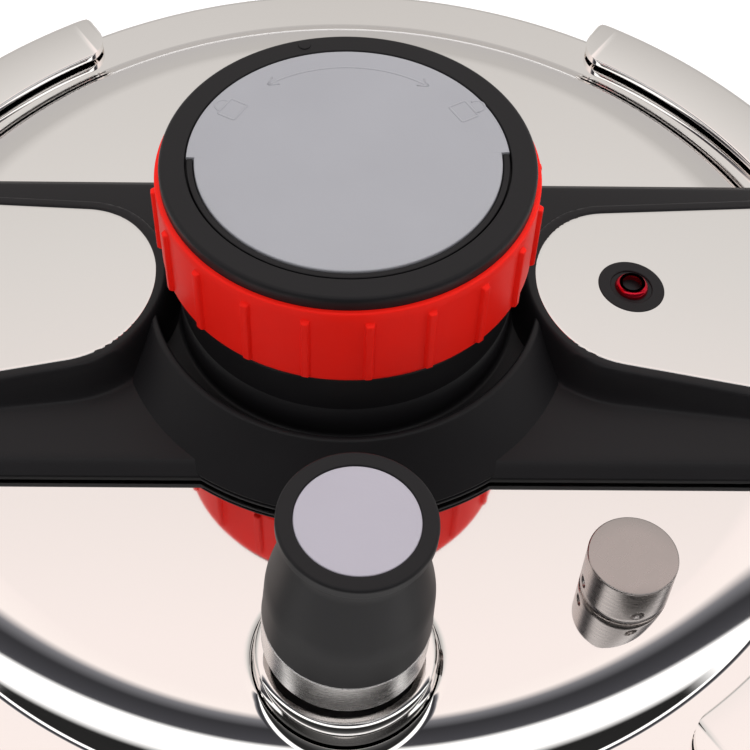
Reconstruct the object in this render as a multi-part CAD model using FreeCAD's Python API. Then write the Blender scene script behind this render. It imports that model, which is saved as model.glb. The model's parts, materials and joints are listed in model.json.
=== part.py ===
import FreeCAD, Part
import math
import os

# Stovetop pressure canner with a clamp-down lid.
# Frame: millimetres, +Z up, origin on the floor under the middle of the pot.
# X runs along the two lid arms and the pot handles, -Y is the steam side of the lid.

os.makedirs("parts", exist_ok=True)
V = FreeCAD.Vector

# ---- pot
pot_inner_r = 130.0
pot_depth = 230.0
pot_wall = 1.2
pot_corner_r = 14.0
base_thick = 6.0
base_r = 116.0
rim_width = 13.0
gasket_height = 5.0

# ---- lid
lid_thick = 1.4
lid_dome = 6.6
shoulder_width = 9.5
lid_over_rim = 4.0
skirt_drop = 4.6

# ---- clamp jaws
jaw_thick = 2.2
jaw_lap = 9.5
jaw_gap_top = 1.0
jaw_gap_bottom = 0.4
jaw_gap_side = 4.8
jaw_half_angle = 57.5
jaw_travel = 16.0
jaw_edge_r = 3.0
jaw_corner_inner = 9.0
jaw_corner_outer = 5.0

# ---- drive: a pinion between two racks
gear_module = 1.5
gear_teeth = 16
gear_thick = 4.0
pressure_angle = 20.0
tooth_gap = 0.12
rack_depth = 11.0
slide_thick = 2.5
slide_width = 60.0
slide_inner_x = 40.0
spindle_r = 8.0
stud_r = 4.0
running_gap = 0.06
sliding_gap = 0.3
guide_stud_x = 104.0
guide_stud_r = 3.0

# ---- lid cover with its two arms
beam_thick = 1.2
hub_r = 62.2
hub_shoulder_r = 50.0
hub_top = 15.6
groove_deep = 5.0
neck_r = 42.0
neck_top = 29.6
arm_half_front = 51.5
arm_half_back = 48.3
arm_lip = 3.2
arm_end_over = 4.0
arm_lift = 0.8
crest_at_hub = 16.8
crest_at_end = 7.118
cover_wall = 2.2
plate_thick = 0.8
plate_sink = 0.3
plate_gap = 0.15
plate_inner_x = 48.0
plate_nose_half = 9.6
plate_nose_round = 28.5
plate_cheek_x = 59.3
plate_cheek_half = 24.66
plate_cheek_share = 0.97
plate_end_half = 37.11
plate_end_gap = 7.0
plate_end_round = 6.0

# ---- knob
knob_r = 44.0
knob_bottom = 31.6
knob_seam = 55.0
knob_top = 58.7
rim_band = 6.2
disc_thick = 2.0
grip_thick = 3.6
rib_count = 20
rib_width = 1.9
rib_height = 20.5
rib_proud = 1.1
rib_turn = 6.0
lip_proud = 0.4
lip_thick = 1.2

# ---- float pin
float_x = 73.0
float_r = 4.4
float_bore_r = 2.6
float_lift = 4.0
float_seat_drop = 2.4
float_stop_gap = 0.2
float_proud = 1.4
bezel_r = 8.6
bezel_neck_r = 7.0

# ---- pressure regulator
vent_y = -98.6
vent_r = 4.5
vent_height = 24.0
boss_foot_r = 21.0
boss_r = 20.0
boss_height = 7.0
weight_bottom = 5.1
weight_height = 45.5
weight_ring_r = 18.0
weight_ring_thick = 1.6
weight_ring_height = 10.2
weight_top_r = 15.9
weight_disc_r = 12.5
weight_lean = 2.4
weight_play = 1.0

# ---- safety valve
safety_x = 64.0
safety_y = -79.4
safety_cap_r = 10.2
safety_cap_height = 13.0
safety_lift = 1.5

# ---- pot handles and rack
handle_reach = 46.0
handle_width = 112.0
handle_height = 16.0
handle_top_gap = 6.0
grip_bar = 15.0
screw_spread = 64.0
rack_r = 120.0
rack_height = 18.0
rack_foot_r = 114.0

# ---- levels worked out from the sizes above
inner_floor = base_thick + pot_wall
rim_top = inner_floor + pot_depth
rim_r = pot_inner_r + rim_width
flange_top = rim_top + gasket_height + lid_thick
lid_top = flange_top + lid_dome
boss_top = lid_top + boss_height
lid_r = rim_r + lid_over_rim
arm_end_r = lid_r + arm_end_over
crest_slope = (crest_at_hub - crest_at_end) / (arm_end_r - plate_inner_x)
plate_end_x = arm_end_r - plate_end_gap
plate_spread = (plate_end_half - plate_cheek_half) / (plate_end_x - plate_cheek_x)
plate_nose_turn = math.atan2(plate_cheek_x - plate_inner_x, plate_cheek_half - plate_nose_half)
plate_nose_edge = math.hypot(plate_cheek_x - plate_inner_x, plate_cheek_half - plate_nose_half)
plate_cheek_room = plate_nose_edge - plate_nose_round * math.tan(plate_nose_turn / 2.0)
plate_cheek_turn = math.pi / 2.0 - plate_nose_turn - math.atan(plate_spread)
plate_cheek_round = plate_cheek_share * plate_cheek_room / math.tan(plate_cheek_turn / 2.0)
shoulder_r = pot_inner_r - 0.5
plateau_r = shoulder_r - shoulder_width
jaw_top = flange_top + jaw_gap_top + jaw_thick
jaw_lip_r = rim_r - 7.0
jaw_wall_r = lid_r + jaw_gap_side
jaw_outer_r = jaw_wall_r + jaw_thick
jaw_lip_top = rim_top - pot_wall - jaw_gap_bottom
jaw_bottom = jaw_lip_top - jaw_thick
jaw_inner_r = lid_r - jaw_lap - skirt_drop + 1.6
slide_bottom = lid_top + beam_thick + sliding_gap
slide_top = slide_bottom + slide_thick
pitch_r = gear_module * gear_teeth / 2.0
tooth_pitch = math.pi * gear_module
handle_z = jaw_bottom - handle_top_gap - handle_height


# ---- shape helpers
def rounded_wire(corners, place):
    """A closed wire through (a, b, radius) corners, each rounded to its radius."""
    points = [V(c[0], c[1], 0) for c in corners]
    ends = []
    for i, (_, _, radius) in enumerate(corners):
        here = points[i]
        back = (points[i - 1] - here).normalize()
        ahead = (points[(i + 1) % len(points)] - here).normalize()
        if radius <= 0:
            ends.append((here, here, here))
            continue
        half = back.getAngle(ahead) / 2.0
        run = radius / math.tan(half)
        inward = (back + ahead).normalize()
        middle = here + inward * (radius / math.sin(half) - radius)
        ends.append((here + back * run, middle, here + ahead * run))
    edges = []
    for i, (first, middle, last) in enumerate(ends):
        if first.distanceToPoint(last) > 1e-6:
            edges.append(Part.Arc(place(first), place(middle), place(last)).toShape())
        following = ends[(i + 1) % len(ends)][0]
        if last.distanceToPoint(following) > 1e-6:
            edges.append(Part.makeLine(place(last), place(following)))
    return Part.Wire(edges)


def turned(corners, x=0.0, y=0.0):
    """A solid of revolution about the upright line at x, y; corners are (radius, z, rounding)."""
    wire = rounded_wire(corners, lambda p: V(p.x, 0, p.y))
    solid = Part.Face(wire).revolve(V(0, 0, 0), V(0, 0, 1), 360)
    solid.translate(V(x, y, 0))
    return solid


def slab(corners, bottom, top):
    """An upright prism over (x, y, rounding) corners."""
    wire = rounded_wire(corners, lambda p: V(p.x, p.y, bottom))
    return Part.Face(wire).extrude(V(0, 0, top - bottom))


def rod(radius, bottom, top, x=0.0, y=0.0):
    return Part.makeCylinder(radius, top - bottom, V(x, y, bottom))


def tube(outer, inner, bottom, top, x=0.0, y=0.0):
    return rod(outer, bottom, top, x, y).cut(rod(inner, bottom, top, x, y))


def hexagon(across, bottom, top, x=0.0, y=0.0):
    radius = across / math.sqrt(3.0)
    corners = [(x + radius * math.cos(math.radians(60 * i)), y + radius * math.sin(math.radians(60 * i)),
                0)
               for i in range(6)]
    return slab(corners, bottom, top)


def long_slot(x_low, x_high, half_width, bottom, top, y=0.0):
    """A round-ended slot between two end centres."""
    corners = [(x_low - half_width, y - half_width, half_width * 0.999),
               (x_high + half_width, y - half_width, half_width * 0.999),
               (x_high + half_width, y + half_width, half_width * 0.999),
               (x_low - half_width, y + half_width, half_width * 0.999)]
    return slab(corners, bottom, top)


def box(x_low, x_high, y_low, y_high, z_low, z_high):
    return Part.makeBox(x_high - x_low, y_high - y_low, z_high - z_low, V(x_low, y_low, z_low))


def join(shapes):
    whole = shapes[0].fuse(shapes[1:]) if len(shapes) > 1 else shapes[0]
    return whole.removeSplitter()


def section_loft(sections):
    """A straight-sided loft through polygon sections given as (x, [(y, z), ...])."""
    wires = []
    for x, points in sections:
        corners = [V(x, y, z) for y, z in points]
        wires.append(Part.makePolygon(corners + corners[:1]))
    return Part.makeLoft(wires, True, True)


def half_turn(shape):
    """The same piece on the other side, turned half a turn about the lid's axis."""
    other = shape.copy()
    other.rotate(V(0, 0, 0), V(0, 0, 1), 180)
    return other


def save(name, shape):
    if len(shape.Solids) == 1:
        shape = shape.Solids[0]
    if not shape.isValid() or len(shape.Solids if shape.ShapeType != "Solid" else [shape]) != 1:
        print("check", name, shape.ShapeType, shape.isValid(), len(shape.Solids))
    shape.exportStep("parts/" + name + ".step")
    print("%-22s %10.1f mm3" % (name, shape.Volume))


# ---- pot
def pot_body():
    outer_r = pot_inner_r + pot_wall
    return turned([(0, base_thick, 0), (outer_r, base_thick, pot_corner_r),
                   (outer_r, rim_top - pot_wall, 0),
                   (pot_inner_r, rim_top - pot_wall, 0),
                   (pot_inner_r, inner_floor, pot_corner_r - pot_wall),
                   (0, inner_floor, 0)])


def pot_rim():
    """The stiff flat ring welded round the pot's mouth, which the gasket and the jaws press on."""
    return turned([(pot_inner_r, rim_top - pot_wall, 0), (rim_r, rim_top - pot_wall, 0.3),
                   (rim_r, rim_top, 0.3),
                   (pot_inner_r, rim_top, 0.8)])


def base_disc():
    return turned([(0, 0, 0), (base_r - 3, 0, 1.5), (base_r, base_thick / 2, 1.0),
                   (base_r, base_thick, 0),
                   (0, base_thick, 0)])


wall_x = pot_inner_r + pot_wall
bracket_thick = 2.5
bracket_x = wall_x + 9.0
grip_z = handle_z + handle_height / 2.0


def handle_bracket():
    """A steel strap welded to the pot wall with two ears that the grip is screwed to."""
    half = handle_width / 2.0 - 8.0
    strap = tube(wall_x + bracket_thick, wall_x, handle_z, handle_z + handle_height)
    strap = strap.common(box(0, wall_x + 10, -half, half, handle_z, handle_z + handle_height))
    ears = []
    for side in (-1, 1):
        y = side * screw_spread / 2.0
        ear = box(wall_x - 12, bracket_x, y - 8, y + 8, grip_z - 5, grip_z + 5)
        ears.append(ear.cut(rod(wall_x + 0.5 * bracket_thick, 0, lid_top)))
    bracket = join([strap] + ears)
    for side in (-1, 1):
        hole = Part.makeCylinder(2.5, 16, V(bracket_x - 8, side * screw_spread / 2.0, grip_z), V(1, 0, 0))
        bracket = bracket.cut(hole)
    return bracket


def handle_grip():
    """A loop of moulded plastic: two feet on the ears and a bar for the fingers."""
    half = handle_width / 2.0
    reach = bracket_x + handle_reach
    outer = slab([(bracket_x, -half + 6, 3), (reach, -half + 14, 22), (reach, half - 14, 22),
                  (bracket_x, half - 6, 3)], handle_z, handle_z + handle_height)
    foot = (handle_width - screw_spread) / 2.0 + 6.0
    inner = slab([(bracket_x - 5, -half + foot, 0), (reach - grip_bar, -half + foot, 10),
                  (reach - grip_bar, half - foot, 10), (bracket_x - 5, half - foot, 0)],
                 handle_z - 1, handle_z + handle_height + 1)
    grip = outer.cut(inner)
    long_edges = [e for e in grip.Edges if e.BoundBox.ZLength < 1e-6 and e.BoundBox.XMin > bracket_x + 0.5]
    grip = grip.makeFillet(3.5, long_edges)
    for side in (-1, 1):
        y = side * screw_spread / 2.0
        grip = grip.cut(Part.makeCylinder(2.6, reach, V(bracket_x - 5, y, grip_z), V(1, 0, 0)))
        grip = grip.cut(Part.makeCylinder(5.0, reach, V(bracket_x + 12, y, grip_z), V(1, 0, 0)))
    return grip


def handle_screw(side):
    y = side * screw_spread / 2.0
    shank = Part.makeCylinder(2.5, 20, V(bracket_x - 8, y, grip_z), V(1, 0, 0))
    head = Part.makeCylinder(4.6, 3.0, V(bracket_x + 12, y, grip_z), V(1, 0, 0))
    return join([shank, head])


def canning_rack():
    """A perforated plate on a turned-down rim that keeps the jars off the bottom."""
    plate_top = inner_floor + rack_height
    plate = turned([(0, plate_top - 1.2, 0), (rack_r - 1.2, plate_top - 1.2, 0),
                    (rack_r - 1.2, inner_floor + 6, 0),
                    (rack_r, inner_floor + 6, 0), (rack_r, plate_top, 1.0), (0, plate_top, 0)])
    holes = []
    for ring, count in ((32.0, 6), (64.0, 12), (96.0, 18)):
        for i in range(count):
            turn = math.radians(360.0 / count * i)
            holes.append(rod(8.0, inner_floor, plate_top + 1, ring * math.cos(turn),
                             ring * math.sin(turn)))
    plate = plate.cut(Part.makeCompound(holes))
    feet = []
    for i in range(6):
        foot = box(rack_foot_r - 1.2, rack_foot_r, -9, 9, inner_floor, plate_top - 0.6)
        foot.rotate(V(0, 0, 0), V(0, 0, 1), 60 * i + 15)
        feet.append(foot)
    return join([plate] + feet)


# ---- lid
def lid_shell():
    flange_low = flange_top - lid_thick
    lid_low = lid_top - lid_thick
    lid = turned([(0, lid_low, 0), (plateau_r - 0.6, lid_low, 5.0), (shoulder_r - 0.6, flange_low, 4.0),
                  (lid_r - lid_thick, flange_low, 1.6), (lid_r - lid_thick, flange_top - skirt_drop, 0),
                  (lid_r, flange_top - skirt_drop, 0), (lid_r, flange_top, 3.0),
                  (shoulder_r, flange_top, 2.6),
                  (plateau_r, lid_top, 6.4), (0, lid_top, 0)])
    boss = turned([(0, lid_low, 0), (boss_foot_r, lid_low, 0), (boss_foot_r, lid_top, 0),
                   (boss_r + 0.5, lid_top + 1.6, 1.0),
                   (boss_r, boss_top, 1.2), (0, boss_top, 0)], 0, vent_y)
    inside = turned([(0, lid_low - 1, 0), (boss_foot_r - lid_thick, lid_low - 1, 0),
                     (boss_r - lid_thick, lid_low + 2, 0),
                     (boss_r - lid_thick, boss_top - lid_thick, 1.0), (0, boss_top - lid_thick, 0)], 0,
                     vent_y)
    lid = join([lid, boss]).cut(inside)
    for x, y, radius in ((0, vent_y, vent_r), (safety_x, safety_y, 5.0), (float_x, 0, 6.5)):
        lid = lid.cut(rod(radius, lid_low - 1, boss_top + 1, x, y))
    return lid


def gasket():
    return turned([(rim_r - 11.0, rim_top, 1), (rim_r, rim_top, 1), (rim_r, rim_top + gasket_height, 1),
                   (rim_r - 11.0, rim_top + gasket_height, 1)])


def cross_beam():
    """A steel strip across the lid with low lips that guide the two slides."""
    half = slide_width / 2.0
    lip = 1.5
    beam = box(-plateau_r + 4, plateau_r - 4, -half - sliding_gap - lip, half + sliding_gap + lip,
               lid_top, lid_top + beam_thick)
    lips = [box(slide_inner_x + 8, plateau_r - 4, half + sliding_gap, half + sliding_gap + lip,
                lid_top, slide_top - 0.4)]
    lips.append(half_turn(lips[0]))
    mirrored = [lip_box.mirror(V(0, 0, 0), V(0, 1, 0)) for lip_box in lips]
    beam = join([beam] + lips + mirrored)
    beam = beam.cut(rod(stud_r, lid_top - 1, lid_top + 5))
    beam = beam.cut(rod(6.5, lid_top - 1, lid_top + 5, float_x, 0))
    for side in (-1, 1):
        beam = beam.cut(rod(guide_stud_r, lid_top - 1, lid_top + 5, side * guide_stud_x, 0))
    return beam


def centre_stud():
    return rod(stud_r, lid_top, lid_top + knob_bottom + 6)


def crest(x):
    """Height of the arm's crest above the lid at x."""
    return crest_at_hub - crest_slope * (abs(x) - plate_inner_x)


def plate_half(x):
    """Half the inset plate's width at x."""
    return plate_cheek_half + plate_spread * (abs(x) - plate_cheek_x)


def guide_stud(side):
    x = side * guide_stud_x
    top = lid_top + crest(guide_stud_x) - plate_thick - cover_wall - 0.8
    stud = rod(guide_stud_r, lid_top, top, x, 0)
    return stud.cut(rod(1.5, top - 6, top + 1, x, 0))


def arm_section(x, half_width):
    """Half the arm's outer section: lip, ledge, ridge wall and crest."""
    foot = plate_half(x) + 6.5
    return [(half_width, arm_lift), (half_width, 2.5), (half_width - arm_lip, 4.0), (foot, 6.3),
            (plate_half(x) + 1.9, crest(x))]


def arm_solid():
    sections = []
    for x in (28.0, arm_end_r + 6.0):
        ring = [(y, lid_top + z) for y, z in arm_section(x, arm_half_back)]
        ring += [(-y, lid_top + z) for y, z in reversed(arm_section(x, arm_half_front))]
        sections.append((x, ring))
    return section_loft(sections)


def arm_hollow():
    """Room under the arm for the slide, its guide lips and the studs."""
    sections = []
    for x in (20.0, arm_end_r - 1.6):
        wide = slide_width / 2.0 + 2.6
        low = slide_top - lid_top + 0.25
        high = crest(x) - plate_sink - plate_thick - cover_wall
        narrow = plate_half(x) - 2.5
        half = [(wide, -1.0), (wide, low), (narrow, low), (narrow, max(high, low + 0.3))]
        ring = [(y, lid_top + z) for y, z in half]
        ring += [(-y, lid_top + z) for y, z in reversed(half)]
        sections.append((x, ring))
    return section_loft(sections)


def plate_prism(grow):
    """The inset plate's outline, moved outward by grow: blunt round nose, and sides that open outward."""
    upper = [(plate_inner_x, plate_nose_half, plate_nose_round),
             (plate_cheek_x, plate_cheek_half, plate_cheek_round),
             (plate_end_x, plate_half(plate_end_x), plate_end_round)]
    corners = [(x, -y, radius) for x, y, radius in upper] + list(reversed(upper))
    edge = rounded_wire(corners, lambda p: V(p.x, p.y, lid_top))
    if grow:
        edge = edge.makeOffset2D(grow)
    return Part.Face(edge).extrude(V(0, 0, crest_at_hub + 5))


def sloped_slab(x_low, x_high, half_width, depth_top, depth_bottom):
    """A slab that follows the crest's slope, between two depths below it."""
    ends = [(x_low, depth_top), (x_low, depth_bottom), (x_high, depth_bottom), (x_high, depth_top)]
    corners = [V(x, -half_width, lid_top + crest(x) - depth) for x, depth in ends]
    return Part.Face(Part.makePolygon(corners + corners[:1])).extrude(V(0, 2 * half_width, 0))


def arm_plate():
    return plate_prism(-plate_gap).common(sloped_slab(30.0, arm_end_r + 10, 60.0, plate_sink,
                                                      plate_sink + plate_thick))


def on_slope(shape):
    """Tips a piece made upright at the float pin to lie along the arm's crest."""
    tipped = shape.copy()
    tipped.rotate(V(float_x, 0, lid_top + crest(float_x)), V(0, 1, 0),
                  math.degrees(math.atan(crest_slope)))
    return tipped


def arm_plate_with_hole():
    return arm_plate().cut(on_slope(rod(bezel_r + 0.05, lid_top, lid_top + 30, float_x, 0)))


def bridge_cover():
    """The black lid cover: a flared hub with a neck, and two hollow arms."""
    top = lid_top + hub_top
    hub = turned([(0, lid_top + arm_lift, 0), (hub_r, lid_top + arm_lift, 0), (hub_r, lid_top + 2.6, 0.8),
                  (hub_shoulder_r, top, 3.0), (neck_r, top, 1.0), (neck_r - 1.0, lid_top + neck_top, 1.0),
                  (0, lid_top + neck_top, 0)])
    hub = hub.cut(tube(hub_shoulder_r - 1.6, neck_r, top - groove_deep, top + 1))
    arm = arm_solid()
    cover = join([hub, arm, arm.mirror(V(0, 0, 0), V(1, 0, 0))])
    cover = cover.common(rod(arm_end_r, lid_top - 5, lid_top + 40))
    hollows = [arm_hollow()]
    hollows.append(half_turn(hollows[0]))
    for hollow in hollows:
        cover = cover.cut(hollow)
    cover = cover.cut(turned([(0, lid_top - 1, 0), (56.0, lid_top - 1, 0), (50.0, lid_top + 6.6, 6.0),
                              (36.0, lid_top + 9.0, 4.0), (34.0, lid_top + 26.0, 3.0),
                              (0, lid_top + 26.0, 0)]))
    cover = cover.cut(rod(spindle_r + 3.0, lid_top, lid_top + 40))
    recess = plate_prism(0).common(sloped_slab(30.0, arm_end_r + 10, 60.0, -5.0,
                                               plate_sink + plate_thick))
    for side in (0, 1):
        cut = half_turn(recess) if side else recess
        cover = cover.cut(cut)
    cover = cover.cut(on_slope(rod(bezel_neck_r, lid_top, lid_top + 30, float_x, 0)))
    for side in (-1, 1):
        x = side * guide_stud_x
        floor = lid_top + crest(guide_stud_x) - plate_sink - plate_thick
        cover = cover.cut(rod(1.6, lid_top, lid_top + 30, x, 0))
        cover = cover.cut(rod(3.4, floor - 1.5, lid_top + 30, x, 0))
    return cover


def cover_screw(side):
    x = side * guide_stud_x
    top = lid_top + crest(guide_stud_x) - plate_sink - plate_thick - 0.5
    seat = lid_top + crest(guide_stud_x) - plate_sink - plate_thick - 1.5
    return join([rod(3.2, seat, top, x, 0), rod(1.5, seat - 6.0, seat, x, 0)])


def hub_bush():
    """A plain bearing for the spindle in the neck of the cover."""
    bush = tube(spindle_r + 3.0, spindle_r + running_gap, lid_top + 24.0, lid_top + neck_top)
    flange = tube(spindle_r + 6.0, spindle_r + running_gap, lid_top + 24.0, lid_top + 26.0)
    return join([bush, flange])


# ---- drive gear
def involute_flank(base_radius, low_radius, high_radius, steps=7):
    """Points (radius, turn) along an involute from low_radius to high_radius."""
    points = []
    for i in range(steps):
        radius = low_radius + (high_radius - low_radius) * i / (steps - 1.0)
        roll = math.sqrt(max((radius / base_radius) ** 2 - 1.0, 0.0))
        points.append((radius, roll - math.atan(roll)))
    return points


def gear_blank():
    alpha = math.radians(pressure_angle)
    base_radius = pitch_r * math.cos(alpha)
    root = pitch_r - 1.2 * gear_module
    tip = pitch_r + 0.95 * gear_module
    inv_pitch = math.tan(alpha) - alpha
    half_tooth = (math.pi * gear_module / 2.0 - tooth_gap) / 2.0 / pitch_r
    flank = involute_flank(base_radius, max(root, base_radius), tip)
    points = []
    for tooth in range(gear_teeth):
        centre = 2.0 * math.pi * (tooth + 0.5) / gear_teeth + math.pi / 2.0
        right = [(r, centre - half_tooth - inv_pitch + turn) for r, turn in flank]
        left = [(r, centre + half_tooth + inv_pitch - turn) for r, turn in reversed(flank)]
        points += [(root, right[0][1])] + right + left + [(root, left[-1][1])]
    corners = [V(r * math.cos(a), r * math.sin(a), slide_bottom) for r, a in points]
    return Part.Face(Part.makePolygon(corners + corners[:1])).extrude(V(0, 0, gear_thick))


def drive_gear():
    """The pinion and its hollow spindle, with a hexagon that carries the knob."""
    hex_low = lid_top + knob_bottom
    gear = gear_blank()
    spindle = rod(spindle_r, slide_bottom, hex_low)
    hexagon_end = hexagon(13.0, hex_low, hex_low + 12.0)
    body = join([gear, spindle, hexagon_end])
    body = body.cut(rod(stud_r + running_gap, slide_bottom - 1, hex_low + 6.5))
    return body.cut(rod(2.5, hex_low + 6.5, hex_low + 20))


# ---- slides and jaws
def rack_bar():
    """A straight toothed bar on the -Y side of the pinion, in mesh with it at rest."""
    alpha = math.radians(pressure_angle)
    addendum = 0.95 * gear_module
    dedendum = 1.2 * gear_module
    half = (tooth_pitch / 2.0 - tooth_gap) / 2.0
    top_half = half - addendum * math.tan(alpha)
    root_half = half + dedendum * math.tan(alpha)
    count = int((jaw_travel + 4 * tooth_pitch) / tooth_pitch)
    points = []
    for i in range(count):
        x = (i - 1.5) * tooth_pitch + tooth_pitch / 2.0
        points += [(x - root_half, -pitch_r - dedendum), (x - top_half, -pitch_r + addendum),
                   (x + top_half, -pitch_r + addendum), (x + root_half, -pitch_r - dedendum)]
    x_high = points[-1][0] + 2.0
    back = -pitch_r - rack_depth
    points += [(x_high, -pitch_r - dedendum), (x_high, back), (-slide_inner_x - 2, back),
               (-slide_inner_x - 2, -pitch_r - dedendum)]
    corners = [V(x, y, slide_bottom) for x, y in points]
    return Part.Face(Part.makePolygon(corners + corners[:1])).extrude(V(0, 0, slide_thick))


def slide_left():
    """The left slide: rack bar, wide plate with its slots, and a step down on to the jaw."""
    half = slide_width / 2.0
    web_x = plateau_r + 10.0
    tab_x = jaw_wall_r - 2.0
    tab_low = jaw_top
    plate = box(-web_x, -slide_inner_x, -half, half, slide_bottom, slide_top)
    web = box(-web_x - slide_thick, -web_x, -half + 4, half - 4, tab_low, slide_top)
    tab = box(-tab_x, -web_x, -half + 4, half - 4, tab_low, tab_low + slide_thick)
    slide = join([plate, web, tab, rack_bar()])
    stud_half = guide_stud_r + sliding_gap
    slide = slide.cut(long_slot(-guide_stud_x, -guide_stud_x + jaw_travel, stud_half, slide_bottom - 1,
                                slide_top + 1))
    float_half = float_r + 1.1
    slide = slide.cut(long_slot(-float_x, -float_x + jaw_travel, float_half, slide_bottom - 1,
                                slide_top + 1))
    for side in (-1, 1):
        slide = slide.cut(rod(2.0, tab_low - 1, tab_low + 5, -rivet_x, side * rivet_y))
    return slide


rivet_x = jaw_wall_r - 8.0
rivet_y = 15.0


def corner_tool(at_r, radius, inward, end):
    """What rounds one corner of a jaw's end: a square less a disc, at radius at_r."""
    reach = radius + 3.0
    depth = at_r + inward * radius
    square = box(min(depth, depth - inward * reach), max(depth, depth - inward * reach), -radius, 3.0,
                 jaw_bottom - 1, jaw_top + 1)
    tool = square.cut(rod(radius, jaw_bottom - 2, jaw_top + 2, depth, -radius))
    if end < 0:
        tool = tool.mirror(V(0, 0, 0), V(0, 1, 0))
    tool.rotate(V(0, 0, 0), V(0, 0, 1), end * jaw_half_angle)
    return half_turn(tool)


def jaw_left():
    """A curved channel that grips the lid flange and the pot rim together."""
    ring = turned([(jaw_inner_r, jaw_top - jaw_thick, 0.6), (jaw_wall_r, jaw_top - jaw_thick, 1.0),
                   (jaw_wall_r, jaw_lip_top, 1.0), (jaw_lip_r, jaw_lip_top, 0.6),
                   (jaw_lip_r, jaw_bottom, 0.6),
                   (jaw_outer_r, jaw_bottom, jaw_edge_r), (jaw_outer_r, jaw_top, jaw_edge_r),
                   (jaw_inner_r, jaw_top, 0.6)])
    far = jaw_outer_r * 1.6
    turn = math.radians(jaw_half_angle)
    sector = slab([(0, 0, 0), (-far * math.cos(turn), -far * math.sin(turn), 0), (-far, -far * 0.5, 0),
                   (-far, far * 0.5, 0), (-far * math.cos(turn), far * math.sin(turn), 0)],
                   jaw_bottom - 1, jaw_top + 1)
    jaw = ring.common(sector)
    for end in (-1, 1):
        jaw = jaw.cut(corner_tool(jaw_inner_r, jaw_corner_inner, 1, end))
        jaw = jaw.cut(corner_tool(jaw_outer_r, jaw_corner_outer, -1, end))
    for side in (-1, 1):
        jaw = jaw.cut(rod(2.0, jaw_top - 5, jaw_top + 1, -rivet_x, side * rivet_y))
    return jaw


def jaw_rivet(side):
    y = side * rivet_y
    low = jaw_top - jaw_thick
    high = jaw_top + slide_thick
    head = turned([(0, high, 0), (3.8, high, 0), (2.6, high + 1.2, 0.6), (0, high + 1.2, 0)], -rivet_x, y)
    tail = rod(3.2, low - 0.8, low, -rivet_x, y)
    return join([rod(2.0, low, high, -rivet_x, y), head, tail])


# ---- knob
def knob_body():
    """The black core of the knob, with a hexagon socket for the spindle."""
    core_r = knob_r + 1.2 - grip_thick
    core = turned([(0, lid_top + knob_bottom, 0), (core_r - 3, lid_top + knob_bottom, 2),
                   (core_r, lid_top + knob_bottom + 1.5, 0.5),
                   (core_r, lid_top + knob_seam, 0), (0, lid_top + knob_seam, 0)])
    lip_low = lid_top + knob_bottom - lip_thick
    lip = tube(knob_r + lip_proud, core_r - 6, lip_low, lid_top + knob_bottom)
    core = join([core, lip])
    core = core.cut(tube(core_r - 7, 13.0, lid_top + knob_bottom - 1, lid_top + knob_seam - 4))
    core = core.cut(hexagon(13.0, lid_top + knob_bottom - 1, lid_top + knob_bottom + 12.0))
    core = core.cut(rod(2.6, lid_top + knob_bottom, lid_top + knob_top))
    return core.cut(rod(6.0, lid_top + knob_seam - 6.0, lid_top + knob_top))


def knob_grip_ring():
    """The red grip with its upright ribs."""
    outer = knob_r + 1.2
    ring = turned([(outer - grip_thick, lid_top + knob_bottom, 0),
                   (outer - 0.6, lid_top + knob_bottom, 0.5),
                   (outer, lid_top + knob_bottom + 1.0, 0.6), (outer, lid_top + knob_seam, 0),
                   (outer - grip_thick, lid_top + knob_seam, 0)])
    middle = lid_top + (knob_bottom + knob_seam) / 2.0 - 0.6
    ribs = []
    for i in range(rib_count):
        rib = box(outer - 1.0, outer + rib_proud, -rib_width / 2.0, rib_width / 2.0,
                  middle - rib_height / 2.0, middle + rib_height / 2.0)
        outer_edges = [e for e in rib.Edges if e.BoundBox.XMin > outer + rib_proud - 0.01]
        rib = rib.makeFillet(0.7, outer_edges)
        rib.rotate(V(0, 0, 0), V(0, 0, 1), -90 + rib_turn + 360.0 / rib_count * i)
        ribs.append(rib)
    return join([ring] + ribs)


def knob_rim():
    """The black rim over the grip, with a seat for the disc."""
    inner = knob_r - rim_band
    rim = turned([(inner - 4.0, lid_top + knob_seam, 0), (knob_r, lid_top + knob_seam, 0),
                  (knob_r, lid_top + knob_top, 1.2),
                  (inner, lid_top + knob_top, 0.3), (inner, lid_top + knob_top - disc_thick, 0),
                  (inner - 4.0, lid_top + knob_top - disc_thick, 0)])
    return rim


def knob_disc():
    radius = knob_r - rim_band - 0.1
    return turned([(0, lid_top + knob_top - disc_thick, 0), (radius, lid_top + knob_top - disc_thick, 0),
                   (radius, lid_top + knob_top - 0.2, 0.3), (0, lid_top + knob_top - 0.2, 0)])


def knob_screw():
    seat = lid_top + knob_seam - 6.0
    return join([rod(5.0, seat, seat + 3.0), rod(2.5, lid_top + knob_bottom + 8.0, seat)])


# ---- float pin
def float_pin():
    """The hollow red pin that pressure lifts, with a foot that seals on the seat at the top of its travel."""
    top = lid_top + crest(float_x) + float_proud
    foot_top = lid_top - float_seat_drop - float_lift - float_stop_gap
    return turned([(0, foot_top - 1.4, 0), (float_r + 1.6, foot_top - 1.4, 0.4),
                   (float_r + 1.6, foot_top, 0.4),
                   (float_r, foot_top, 0), (float_r, top, 1.2), (float_bore_r, top, 0.4),
                   (float_bore_r, top - 5.0, 0),
                   (0, top - 5.0, 0)], float_x, 0)


def float_seat():
    """The guide that holds the float pin in the lid."""
    low = lid_top - float_seat_drop
    return turned([(float_r + running_gap, low, 0), (9.0, low, 0.4), (9.0, lid_top - lid_thick, 0),
                   (6.5, lid_top - lid_thick, 0), (6.5, lid_top + beam_thick, 0),
                   (float_r + running_gap, lid_top + beam_thick, 0)], float_x, 0)


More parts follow.
